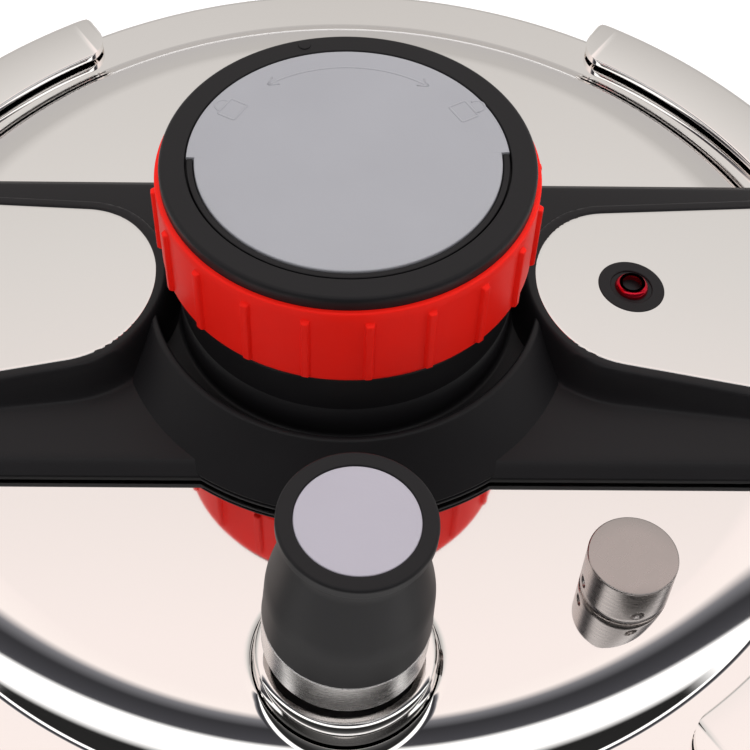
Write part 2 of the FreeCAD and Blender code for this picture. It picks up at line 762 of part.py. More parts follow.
def float_bezel():
    """The black ring set in the right plate around the float pin."""
    top = lid_top + crest(float_x) - plate_sink + 0.1
    collar = top - plate_thick
    inner = float_r + 0.9
    return on_slope(turned([(inner, top - 4.0, 0), (bezel_neck_r, top - 4.0, 0),
                            (bezel_neck_r, collar, 0),
                            (bezel_r, collar, 0), (bezel_r, top, 0.3), (inner, top, 0.3)], float_x, 0))


# ---- vent pipe and regulator
def vent_pipe():
    low = boss_top - 14.0
    top = boss_top + vent_height
    pipe = turned([(1.6, low, 0), (vent_r, low, 0), (vent_r, boss_top, 0), (7.5, boss_top, 0),
                   (7.5, boss_top + 1.5, 0.4),
                   (vent_r, boss_top + 1.5, 0), (vent_r, top - 4, 0.5), (2.6, top, 0.3), (1.6, top, 0)],
                   0, vent_y)
    return pipe


def vent_seal():
    return tube(8.5, vent_r, boss_top - lid_thick - 2.0, boss_top - lid_thick, 0, vent_y)


def vent_nut():
    top = boss_top - lid_thick - 2.0
    return hexagon(16.0, top - 5.0, top, 0, vent_y).cut(rod(vent_r, top - 6, top + 1, 0, vent_y))


def clog_guard():
    """A slotted cap over the pipe's lower end that keeps food out of it."""
    top = boss_top - lid_thick - 7.0
    cap = turned([(vent_r, top - 4.0, 0), (vent_r, top, 0), (9.0, top, 0.4), (9.0, top - 9.0, 2.0),
                  (0, top - 9.0, 0),
                  (0, top - 7.8, 0), (7.8, top - 7.8, 1.0), (7.8, top - 4.0, 0)], 0, vent_y)
    for i in range(3):
        slot = box(-12, 12, -1.0, 1.0, top - 7.0, top - 4.6)
        slot.rotate(V(0, 0, 0), V(0, 0, 1), 60 * i)
        slot.translate(V(0, vent_y, 0))
        cap = cap.cut(slot)
    return cap


def leaned(shape):
    """Tilts a piece of the regulator: it sits loosely and leans on the vent pipe."""
    shape = shape.copy()
    shape.rotate(V(0, vent_y, boss_top + vent_height / 2.0), V(0, 1, 0), weight_lean)
    return shape


weight_low = boss_top + weight_bottom
weight_bore_r = vent_r + weight_play
weight_core_r = 11.0


def regulator_weight():
    """The heavy core, with a bore that drops over the vent pipe and a cone that closes it."""
    bore_top = boss_top + vent_height + 0.6
    return leaned(turned([(weight_bore_r, weight_low + 1.0, 0.4), (weight_core_r, weight_low + 1.0, 0),
                          (weight_core_r, weight_low + 36.0, 1.0), (0, weight_low + 36.0, 0),
                          (0, bore_top - 1.2, 0),
                          (0.8, bore_top, 0), (weight_bore_r, bore_top, 0)], 0, vent_y))


def regulator_ring():
    """The bright steel band round the foot of the grip."""
    inner = weight_ring_r - weight_ring_thick
    return leaned(turned([(inner, weight_low, 0.3), (weight_ring_r, weight_low, 0.3),
                          (weight_ring_r, weight_low + weight_ring_height, 0),
                          (inner, weight_low + weight_ring_height, 0)], 0, vent_y))


def regulator_shell():
    """The black grip: a foot inside the band, a bulged body, a waist and a flat collar round the top disc."""
    seam = weight_low + weight_ring_height
    top = weight_low + weight_height
    inside = weight_ring_r - weight_ring_thick
    return leaned(turned([(weight_core_r, weight_low + 1.0, 0), (inside, weight_low + 1.0, 0),
                          (inside, seam, 0),
                          (weight_ring_r, seam, 0.2), (weight_ring_r + 0.3, seam + 9.0, 16.0),
                          (weight_top_r - 2.4, top - 7.0, 5.0), (weight_top_r - 1.2, top - 3.2, 0),
                          (weight_top_r, top - 2.8, 0.5), (weight_top_r, top, 1.0),
                          (weight_disc_r, top, 0),
                          (weight_disc_r, top - 1.4, 0), (0, top - 1.4, 0), (0, weight_low + 36.0, 0),
                          (weight_core_r, weight_low + 36.0, 0)], 0, vent_y))


def regulator_disc():
    top = weight_low + weight_height
    radius = weight_disc_r - 0.05
    return leaned(turned([(0, top - 1.4, 0), (radius, top - 1.4, 0), (radius, top - 0.2, 0.2),
                          (0, top - 0.2, 0)],
                         0, vent_y))


# ---- safety valve
safety_low = lid_top + 0.5
safety_top = safety_low + safety_cap_height


def safety_cap():
    """The perforated cap over the safety valve."""
    cap = turned([(6.0, safety_low, 0), (safety_cap_r, safety_low, 0.3), (safety_cap_r, safety_top, 0.5),
                  (0, safety_top, 0),
                  (0, safety_top - 1.2, 0), (safety_cap_r - 1.2, safety_top - 1.2, 0.3),
                  (safety_cap_r - 1.2, safety_low + 1.6, 0), (6.0, safety_low + 1.6, 0)])
    for i in range(4):
        turn = math.radians(-60 + 90 * i)
        hole = Part.makeCylinder(1.3, 8, V(5 * math.cos(turn), 5 * math.sin(turn), safety_low + 3.6),
                                 V(math.cos(turn), math.sin(turn), 0))
        cap = cap.cut(hole)
    cap.translate(V(safety_x, safety_y, 0))
    return cap


def safety_body():
    """The valve body through the lid; the cap's floor is clamped under its shoulder."""
    return turned([(2.2, lid_top - 12.0, 0), (5.0, lid_top - 12.0, 0), (5.0, lid_top, 0),
                   (6.0, lid_top, 0),
                   (6.0, lid_top + 2.1, 0), (7.2, lid_top + 2.1, 0), (7.2, lid_top + 3.2, 0),
                   (3.4, lid_top + 3.2, 0),
                   (3.4, lid_top + 2.0, 0), (2.2, lid_top + 1.0, 0)], safety_x, safety_y)


def safety_seal():
    return tube(8.5, 5.0, lid_top - lid_thick - 2.0, lid_top - lid_thick, safety_x, safety_y)


def safety_nut():
    top = lid_top - lid_thick - 2.0
    return hexagon(16.0, top - 5.0, top, safety_x, safety_y).cut(rod(5.0, top - 6, top + 1, safety_x,
                                                                     safety_y))


plunger_top = safety_top - 1.2 - safety_lift - 0.6


def safety_plunger():
    """The spring-loaded plunger that closes the valve's seat."""
    return turned([(0, lid_top + 1.1, 0), (2.0, lid_top + 1.1, 0), (3.2, lid_top + 2.3, 0),
                   (3.2, lid_top + 3.6, 0),
                   (5.4, lid_top + 3.6, 0), (5.4, lid_top + 4.4, 0), (1.6, lid_top + 4.4, 0),
                   (1.6, plunger_top, 0.3),
                   (0, plunger_top, 0)], safety_x, safety_y)


def safety_spring():
    """The spring's outer form, between the plunger's collar and the cap."""
    return tube(4.6, 3.6, lid_top + 4.4, safety_top - 1.2, safety_x, safety_y)


save("pot_body", pot_body())
save("pot_rim", pot_rim())
save("base_disc", base_disc())
save("canning_rack", canning_rack())
save("lid_shell", lid_shell())
save("gasket", gasket())
save("cross_beam", cross_beam())
save("centre_stud", centre_stud())
save("bridge_cover", bridge_cover())
save("hub_bush", hub_bush())
save("drive_gear", drive_gear())
save("knob_body", knob_body())
save("knob_grip_ring", knob_grip_ring())
save("knob_rim", knob_rim())
save("knob_disc", knob_disc())
save("knob_screw", knob_screw())
save("float_pin", float_pin())
save("float_seat", float_seat())
save("float_bezel", float_bezel())
save("vent_pipe", vent_pipe())
save("vent_seal", vent_seal())
save("vent_nut", vent_nut())
save("clog_guard", clog_guard())
save("regulator_weight", regulator_weight())
save("regulator_ring", regulator_ring())
save("regulator_shell", regulator_shell())
save("regulator_disc", regulator_disc())
save("safety_cap", safety_cap())
save("safety_body", safety_body())
save("safety_seal", safety_seal())
save("safety_nut", safety_nut())
save("safety_plunger", safety_plunger())
save("safety_spring", safety_spring())

grip = handle_grip()
bracket = handle_bracket()
slide = slide_left()
jaw = jaw_left()
plate = arm_plate_with_hole()
left_plate = half_turn(arm_plate())
save("handle_bracket_right", bracket)
save("handle_bracket_left", half_turn(bracket))
save("handle_grip_right", grip)
save("handle_grip_left", half_turn(grip))
save("slide_left", slide)
save("slide_right", half_turn(slide))
save("jaw_left", jaw)
save("jaw_right", half_turn(jaw))
save("arm_plate_right", plate)
save("arm_plate_left", left_plate)
for number, side in ((1, -1), (2, 1)):
    save("handle_screw_right_%d" % number, handle_screw(side))
    save("handle_screw_left_%d" % number, half_turn(handle_screw(side)))
    save("jaw_rivet_left_%d" % number, jaw_rivet(side))
    save("jaw_rivet_right_%d" % number, half_turn(jaw_rivet(side)))
for name, side in (("left", -1), ("right", 1)):
    save("guide_stud_" + name, guide_stud(side))
    save("cover_screw_" + name, cover_screw(side))
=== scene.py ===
import json
import math
import bpy
import numpy as np
from mathutils import Matrix, Vector


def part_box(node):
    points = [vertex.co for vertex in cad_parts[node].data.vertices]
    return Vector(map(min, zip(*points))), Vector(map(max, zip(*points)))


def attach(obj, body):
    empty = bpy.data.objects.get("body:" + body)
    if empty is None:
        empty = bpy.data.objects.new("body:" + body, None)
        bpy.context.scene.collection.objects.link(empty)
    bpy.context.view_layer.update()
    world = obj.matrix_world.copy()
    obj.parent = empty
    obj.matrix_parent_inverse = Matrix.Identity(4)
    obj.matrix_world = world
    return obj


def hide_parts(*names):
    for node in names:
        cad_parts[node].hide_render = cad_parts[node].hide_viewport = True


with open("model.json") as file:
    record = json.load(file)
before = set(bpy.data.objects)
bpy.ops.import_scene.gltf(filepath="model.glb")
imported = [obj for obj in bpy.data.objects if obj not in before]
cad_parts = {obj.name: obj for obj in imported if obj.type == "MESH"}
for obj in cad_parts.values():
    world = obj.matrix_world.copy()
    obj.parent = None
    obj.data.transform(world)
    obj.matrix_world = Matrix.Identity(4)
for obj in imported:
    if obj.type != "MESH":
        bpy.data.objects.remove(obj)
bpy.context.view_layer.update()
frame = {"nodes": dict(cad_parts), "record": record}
mm = 0.001
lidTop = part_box("cross_beam")[0][2] / mm  # height of the lid's flat middle; the pieces are laid out in mm
scene = bpy.context.scene
scene.view_settings.view_transform = "Standard"


# mesh tools; lengths in mm, turned into metres when the mesh is made

# Points and left-hand normals along a path of (a, b, radius) corners, each rounded by a tangent arc.
# At a corner that turns by t the arc starts radius * tan(t / 2) before it.
def outline(corners, steps=8, closed=False):
    spots = np.array([c[:2] for c in corners], float)
    count = len(corners)
    points, normals = [], []
    for i in range(count):
        here = spots[i]
        inward = here - spots[i - 1]
        onward = spots[(i + 1) % count] - here
        if not closed and i == 0:
            inward = onward
        if not closed and i == count - 1:
            onward = inward
        inward = inward / np.linalg.norm(inward)
        onward = onward / np.linalg.norm(onward)
        turn = math.atan2(inward[0] * onward[1] - inward[1] * onward[0], float(inward @ onward))
        left = np.array([-inward[1], inward[0]])
        radius = max(corners[i][2], 1e-4)
        if abs(turn) < 1e-6:
            points.append(here)
            normals.append(left)
            continue
        sign = math.copysign(1.0, turn)
        start = here - inward * radius * math.tan(abs(turn) / 2)
        centre = start + sign * left * radius
        for k in range(steps + 1):
            c, s = math.cos(turn * k / steps), math.sin(turn * k / steps)
            normal = np.array([left[0] * c - left[1] * s, left[0] * s + left[1] * c])
            points.append(centre - sign * normal * radius)
            normals.append(normal)
    return np.array(points), np.array(normals)


# A mesh from a (rows, columns, 3) grid. A row whose points all coincide becomes one pole vertex.
# Face normals point along (step to the next row) x (step to the next column).
def gridMesh(name, grid, wrapColumns=True, wrapRows=False, normals=None, capEnds=False):
    rows, columns = grid.shape[:2]
    pole = np.ptp(grid, axis=1).max(axis=1) < 1e-7 if wrapColumns else np.zeros(rows, bool)
    sizes = np.where(pole, 1, columns)
    starts = np.concatenate([[0], np.cumsum(sizes)[:-1]])
    index = starts[:, None] + np.where(pole[:, None], 0, np.arange(columns)[None, :])
    keep = np.concatenate([grid[j, :sizes[j]] for j in range(rows)])
    here = index if wrapRows else index[:-1]
    below = np.roll(index, -1, axis=0) if wrapRows else index[1:]
    if not wrapColumns:
        quads = np.stack([here[:, :-1], below[:, :-1], below[:, 1:], here[:, 1:]], -1).reshape(-1, 4)
    else:
        quads = np.stack([here, below, np.roll(below, -1, 1), np.roll(here, -1, 1)], -1).reshape(-1, 4)
    topPole = quads[:, 0] == quads[:, 3]
    lowPole = quads[:, 1] == quads[:, 2]
    faces = quads[~topPole & ~lowPole].tolist()
    faces += quads[topPole & ~lowPole][:, :3].tolist()
    faces += quads[lowPole & ~topPole][:, [0, 1, 3]].tolist()
    if capEnds:
        faces += [index[0].tolist(), index[-1][::-1].tolist()]
    mesh = bpy.data.meshes.new(name)
    mesh.from_pydata((keep * mm).tolist(), [], faces)
    mesh.shade_smooth()
    if normals is not None:
        kept = np.concatenate([normals[j, :sizes[j]] for j in range(rows)])
        mesh.normals_split_custom_set_from_vertices(kept.tolist())
    piece = bpy.data.objects.new(name, mesh)
    scene.collection.objects.link(piece)
    return piece


# A profile of (radius, z, rounding) corners turned about an upright axis; travel keeps the outside on its left.
def turned(name, corners, centre=(0.0, 0.0), segments=256, steps=8, closed=False, place=None):
    points, flat = outline(corners, steps, closed)
    angle = np.linspace(0, 2 * np.pi, segments, endpoint=False)
    around = np.stack([np.cos(angle), np.sin(angle)], -1)
    grid = np.zeros((len(points), segments, 3))
    normals = np.zeros_like(grid)
    grid[..., :2] = points[:, None, :1] * around[None]
    grid[..., 2] = points[:, 1:2]
    normals[..., :2] = flat[:, None, :1] * around[None]
    normals[..., 2] = flat[:, 1:2]
    pole = points[:, 0] < 1e-6
    normals[pole, :, :2] = 0
    normals[pole, :, 2] = np.sign(flat[pole, 1:2])
    if place is not None:
        grid, normals = place(grid, normals)
    grid[..., 0] += centre[0]
    grid[..., 1] += centre[1]
    return gridMesh(name, grid, wrapRows=closed, normals=normals)


def smoothMax(a, b, blend):
    return 0.5 * (a + b + np.sqrt((a - b) ** 2 + blend ** 2))


def smoothStep(value):
    value = np.clip(value, 0, 1)
    return value * value * (3 - 2 * value)


# material tools: each finish is a shader with its own grain, read from Object coordinates

def material(name, **settings):
    made = bpy.data.materials.new(name)
    made.use_nodes = True
    shader = made.node_tree.nodes["Principled BSDF"]
    for socket, value in settings.items():
        shader.inputs[socket.replace("_", " ")].default_value = value
    return made, made.node_tree, shader


def node(tree, kind, **inputs):
    made = tree.nodes.new("ShaderNode" + kind)
    for socket, value in inputs.items():
        made.inputs[socket.replace("_", " ")].default_value = value
    return made


def objectPoints(tree, scale=(1, 1, 1)):
    coords = tree.nodes.new("ShaderNodeTexCoord")
    mapping = node(tree, "Mapping", Scale=scale)
    tree.links.new(coords.outputs["Object"], mapping.inputs["Vector"])
    return mapping.outputs["Vector"]


def noise(tree, scale, detail=2.0, stretch=(1, 1, 1)):
    made = node(tree, "TexNoise", Scale=scale, Detail=detail)
    tree.links.new(objectPoints(tree, stretch), made.inputs["Vector"])
    return made.outputs["Fac"]


def ranged(tree, value, low, high):
    made = node(tree, "MapRange", To_Min=low, To_Max=high)
    tree.links.new(value, made.inputs["Value"])
    return made.outputs["Result"]


def bumped(tree, shader, height, strength, distance):
    made = node(tree, "Bump", Strength=strength, Distance=distance)
    tree.links.new(height, made.inputs["Height"])
    tree.links.new(made.outputs["Normal"], shader.inputs["Normal"])


def tinted(tree, value, low, high):
    ramp = tree.nodes.new("ShaderNodeValToRGB")
    ramp.color_ramp.elements[0].color = (*low, 1)
    ramp.color_ramp.elements[1].color = (*high, 1)
    tree.links.new(value, ramp.inputs["Fac"])
    return ramp.outputs["Color"]


def polishedSteel():
    made, tree, shader = material("polishedSteel", Metallic=1.0, Roughness=0.04)
    colour = tinted(tree, noise(tree, 9.0, 2.0), (0.86, 0.835, 0.815), (0.90, 0.88, 0.865))
    tree.links.new(colour, shader.inputs["Base Color"])
    tree.links.new(ranged(tree, noise(tree, 30.0, 4.0), 0.025, 0.06), shader.inputs["Roughness"])
    return made


def satinSteel(name, colour, rough, stretch):
    made, tree, shader = material(name, Metallic=1.0)
    grain = noise(tree, 900.0, 3.0, stretch)
    darker = tuple(c * 0.93 for c in colour)
    tree.links.new(tinted(tree, grain, darker, colour), shader.inputs["Base Color"])
    tree.links.new(ranged(tree, grain, rough * 0.75, rough * 1.3), shader.inputs["Roughness"])
    bumped(tree, shader, grain, 0.02, 0.0001)
    return made


def mouldedPlastic(name, colour, rough, shine=0.4, grainSize=0.0006, grainDepth=0.25):
    made, tree, shader = material(name, Specular_IOR_Level=shine)
    grain = noise(tree, 1.0 / grainSize, 2.0)
    patches = noise(tree, 45.0, 3.0)
    lighter = tuple(min(1.0, c * 1.12 + 0.001) for c in colour)
    tree.links.new(tinted(tree, patches, colour, lighter), shader.inputs["Base Color"])
    tree.links.new(ranged(tree, patches, rough * 0.92, rough * 1.1), shader.inputs["Roughness"])
    bumped(tree, shader, grain, grainDepth, 0.00005)
    return made


def rubber():
    made, tree, shader = material("sealRubber", Roughness=0.6)
    tree.links.new(tinted(tree, noise(tree, 60.0), (0.10, 0.105, 0.11), (0.13, 0.135, 0.14)),
                   shader.inputs["Base Color"])
    bumped(tree, shader, noise(tree, 2500.0), 0.2, 0.00005)
    return made


def anodised():
    made, tree, shader = material("redAnodised", Metallic=0.9)
    tree.links.new(tinted(tree, noise(tree, 300.0), (0.50, 0.006, 0.02), (0.62, 0.012, 0.03)),
                   shader.inputs["Base Color"])
    tree.links.new(ranged(tree, noise(tree, 900.0), 0.16, 0.28), shader.inputs["Roughness"])
    return made


finishes = {
    "polished_steel": polishedSteel(),
    "base_steel": satinSteel("baseSteel", (0.60, 0.59, 0.58), 0.28, (1, 1, 0.1)),
    "brushed_wall": satinSteel("brushedWall", (0.44, 0.435, 0.43), 0.27, (0.1, 0.1, 1.6)),
    "plain_steel": satinSteel("plainSteel", (0.62, 0.61, 0.60), 0.25, (0.05, 1, 1)),
    "fitting_steel": satinSteel("fittingSteel", (0.55, 0.54, 0.53), 0.30, (1, 1, 1)),
    "turned_steel": satinSteel("turnedSteel", (0.70, 0.68, 0.67), 0.26, (0.35, 0.35, 1.6)),
    "dark_steel": satinSteel("darkSteel", (0.46, 0.42, 0.405), 0.27, (0.3, 0.3, 1.6)),
    "seal_rubber": rubber(),
    "black_plastic": mouldedPlastic("blackPlastic", (0.0062, 0.0057, 0.0065), 0.46, shine=0.26),
    "red_plastic": mouldedPlastic("redPlastic", (0.80, 0.011, 0.005), 0.45, shine=0.14),
    "grey_plastic": mouldedPlastic("greyPlastic", (0.262, 0.262, 0.283), 0.45),
    "pale_plastic": mouldedPlastic("palePlastic", (0.315, 0.295, 0.338), 0.40),
    "red_aluminium": anodised(),
}
print("finishes ready", len(finishes))

for part in frame["record"]["subparts"]:
    slots = frame["nodes"][part["node"]].material_slots
    for one in slots:
        one.material = finishes[part["material_slot"]]


def finished(piece, body, slot, *nodes):
    piece.data.materials.clear()
    piece.data.materials.append(finishes[slot])
    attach(piece, body)
    if nodes:
        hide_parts(*nodes)
    return piece


# Joins finished pieces into the first, keeping their shading.
def joined(first, *others):
    with bpy.context.temp_override(active_object=first, object=first,
                                   selected_editable_objects=[first, *others],
                                   selected_objects=[first, *others]):
        bpy.ops.object.join()
    return first


# lid: flat middle with the regulator's raised boss, rolled shoulder, flat flange, turned-down edge
lid = {"flatR": 120.0, "shoulderRound": 30.0, "footR": 129.5, "drop": 6.6, "edgeR": 147.0, "edgeRound": 3.0,
       "skirt": 4.6, "thick": 1.4,
       "joinR": 125.0, "spread": 150, "columns": 288}
boss = {"x": 0.0, "y": -98.6, "holeR": 4.4, "topR": 20.0, "wallR": 20.6, "footR": 21.2, "height": 7.0,
        "outR": 26.0}


# Nested circles carry the grid from the boss out to the lid's own circles: circle s has its nearest point to
# the rim at y = -outer - (join - outer) s, and grows evenly, so the circles never cross.
# A point's height is the lid's profile at its distance from the axis plus the boss's profile at its distance
# from the boss; slopes add in the same way and give the shading.
def lidPiece():
    flange = -lid["drop"]
    section, facing = outline([(0, 0, 0), (lid["flatR"], 0, lid["shoulderRound"]),
                               (lid["footR"], flange, 2.6),
                               (lid["edgeR"], flange, lid["edgeRound"]),
                               (lid["edgeR"], flange - lid["skirt"], 0)], 14)
    bump, bumpFacing = outline([(boss["holeR"], boss["height"], 0), (boss["topR"], boss["height"], 1.7),
                                (boss["wallR"], 1.6, 8.0), (boss["footR"], 0, 2.6), (boss["outR"], 0, 0)], 10)
    outer = -boss["y"] + boss["outR"]
    share = np.linspace(0, 1, lid["spread"])[1:]
    nearest = -outer - (lid["joinR"] - outer) * share
    radii = boss["outR"] + (lid["joinR"] - boss["outR"]) * share
    skirt = section[:, 0] > lid["joinR"] + 0.2
    rowR = np.concatenate([bump[:, 0], radii, section[skirt, 0]])
    rowY = np.concatenate([np.full(len(bump), boss["y"]), nearest + radii, np.zeros(skirt.sum())])
    angle = np.linspace(0, 2 * np.pi, lid["columns"], endpoint=False)
    x = rowR[:, None] * np.cos(angle)
    y = rowY[:, None] + rowR[:, None] * np.sin(angle)
    fromAxis, fromBoss = np.hypot(x, y), np.hypot(x - boss["x"], y - boss["y"])
    top = section[:, 0] < lid["edgeR"] - 2.9
    slope = np.interp(fromAxis, section[top, 0], facing[top, 0] / facing[top, 1])
    bossSlope = np.interp(fromBoss, bump[:, 0], bumpFacing[:, 0] / bumpFacing[:, 1], right=0)
    z = np.interp(fromAxis, section[top, 0], section[top, 1])
    z = z + np.interp(fromBoss, bump[:, 0], bump[:, 1], right=0)
    near = np.maximum(fromAxis, 1e-6)
    nearBoss = np.maximum(fromBoss, 1e-6)
    normals = np.stack([slope * x / near + bossSlope * (x - boss["x"]) / nearBoss,
                        slope * y / near + bossSlope * (y - boss["y"]) / nearBoss, np.ones_like(x)], -1)
    normals /= np.linalg.norm(normals, axis=-1, keepdims=True)
    last = len(rowR) - skirt.sum()
    z[last:] = section[skirt, 1][:, None]
    normals[last:, :, 0] = facing[skirt, 0][:, None] * np.cos(angle)
    normals[last:, :, 1] = facing[skirt, 0][:, None] * np.sin(angle)
    normals[last:, :, 2] = facing[skirt, 1][:, None]
    skin = np.stack([x, y, z + lidTop], -1)
    under = (skin - normals * lid["thick"])[::-1][::2]
    grid = np.concatenate([skin, under])
    shading = np.concatenate([normals, -normals[::-1][::2]])
    piece = gridMesh("lidSkin", grid, wrapRows=True, normals=shading)
    finished(piece, "lid", "polished_steel", "lid_shell")


# the float pin and the bezel round it
floatValve = {"x": 73.0, "r": 4.4, "boreR": 2.6, "proud": 1.4, "low": -8.0, "bezelR": 8.6, "bezelInner": 5.3}


# arm plates: round-nosed steel insets that widen outward and slope with the arm
plate = {"noseX": 48.0, "noseHalf": 9.6, "noseRound": 28.5, "cheekX": 59.3, "cheekHalf": 24.66,
         "cheekRound": 22.0,
         "spread": 0.147, "endX": 144.0, "endRound": 6.0, "sink": 0.3, "thick": 0.8, "gap": 0.15, "edge": 0.3}
arm = {"front": 51.5, "back": 48.3, "endR": 151.0, "lift": 0.8, "crest": 16.8, "slope": 0.094, "rim": 1.9,
       "foot": 6.5, "footZ": 6.3, "creaseIn": 3.4, "creaseZ": 5.0, "lipZ": 2.4, "hollowHalf": 32.6,
       "hollowZ": 4.25,
       "bendFrom": 76, "endRound": 0.8, "lipThick": 0.55}
hub = {"edgeR": 62.2, "edgeZ": 2.6, "shoulderR": 50.0, "topZ": 15.6, "grooveR": 48.6, "grooveZ": 7.0,
       "neckR": 42.0, "neckTop": 29.6, "boreR": 11.0}


def plateHalf(x):
    return plate["cheekHalf"] + plate["spread"] * (np.abs(x) - plate["cheekX"])


def crest(x):
    return arm["crest"] - arm["slope"] * (np.abs(x) - plate["noseX"])


# The plate's edge seen from above, moved outward by grow.
def plateEdge(grow, steps=24):
    endHalf = float(plateHalf(plate["endX"]))
    upper = [(plate["noseX"], plate["noseHalf"], plate["noseRound"]),
             (plate["cheekX"], plate["cheekHalf"], plate["cheekRound"]),
             (plate["endX"], endHalf, plate["endRound"])]
    corners = upper + [(x, -y, r) for x, y, r in reversed(upper)]
    points, normals = outline(corners, steps, closed=True)
    return points + normals * grow


def platePiece(side, name, cadNode):
    turns = np.linspace(0, np.pi / 2, 6)
    rings = [(-plate["gap"] - 4.0, plate["sink"]), (-plate["gap"] - 1.0, plate["sink"])]
    rings += [(-plate["gap"] - plate["edge"] * (1 - math.sin(a)),
               plate["sink"] + plate["edge"] * (1 - math.cos(a)))
              for a in turns]
    rings.append((-plate["gap"], plate["sink"] + plate["thick"]))
    layers = []
    for grow, depth in rings:
        edge = plateEdge(grow)
        layer = np.column_stack([edge[:, 0], edge[:, 1], lidTop + crest(edge[:, 0]) - depth])
        layer[:, 0] *= side
        layers.append(layer)
    if side > 0:
        edge = plateEdge(0.0)
        middle = np.array([floatValve["x"], 0.0])
        away = edge - middle
        hole = middle + away / np.linalg.norm(away, axis=1, keepdims=True) * (floatValve["bezelR"] - 1.0)
        high, low = (np.column_stack([hole, lidTop + crest(hole[:, 0]) - depth])
                     for depth in (plate["sink"], plate["sink"] + plate["thick"]))
        layers = [high] + layers + [low]
    grid = np.array(layers)
    if side < 0:
        grid = grid[:, ::-1]
    piece = gridMesh(name, grid, capEnds=side < 0, wrapRows=side > 0)
    piece.data.set_sharp_from_angle(angle=math.radians(50))
    finished(piece, "lid", "polished_steel", cadNode)


# Signed distance from the plate's edge, below zero inside it.
def plateDistance(x, y):
    edge = plateEdge(0.0, 16)
    following = np.roll(edge, -1, 0)
    run = following - edge
    spot = np.stack([np.abs(x), y], -1)[..., None, :]
    along = np.clip(((spot - edge) * run).sum(-1) / (run ** 2).sum(-1), 0, 1)
    distance = np.linalg.norm(spot - edge - along[..., None] * run, axis=-1).min(-1)
    crosses = (edge[:, 1] > spot[..., 1]) != (following[:, 1] > spot[..., 1])
    with np.errstate(divide="ignore", invalid="ignore"):
        meetX = edge[:, 0] + (spot[..., 1] - edge[:, 1]) * run[:, 0] / run[:, 1]
    inside = (crosses & (spot[..., 0] < meetX)).sum(-1) % 2 == 1
    return np.where(inside, -distance, distance)


# Height of an arm: its crest drops by a wall to a ledge, and by a second, narrow face to the lip.
def coverHeight(x, y):
    outside = plateDistance(x, y)
    toEdge = np.where(y < 0, arm["front"], arm["back"]) - np.abs(y)
    ledgeRun = np.maximum(toEdge + outside - arm["creaseIn"] - arm["foot"], 1.0)
    ledge = arm["creaseZ"] + (arm["footZ"] - arm["creaseZ"]) * np.clip((toEdge - arm["creaseIn"]) / ledgeRun,
                                                                       0, 1)
    face = arm["lipZ"] + (arm["creaseZ"] - arm["lipZ"]) * toEdge / arm["creaseIn"]
    low = -smoothMax(-ledge, -face, 0.25)
    sink = smoothStep((outside + 0.35) / 0.6) - 1
    wall = smoothStep((outside - arm["rim"]) / (arm["foot"] - arm["rim"]))
    armZ = crest(np.maximum(np.abs(x), 40)) + 0.5 * sink
    return armZ + (low - armZ) * wall


# Beyond bendFrom the stations stretch evenly, so that the last lies on the circle of radius endR.
def toLidCircle(station, y):
    bend, end = arm["bendFrom"], arm["endR"]
    reach = np.sqrt(end ** 2 - y ** 2)
    x = np.broadcast_to(station, y.shape)
    stretched = np.sign(x) * (bend + (np.abs(x) - bend) * (reach - bend) / (end - bend))
    return np.where(np.abs(x) > bend, stretched, x)


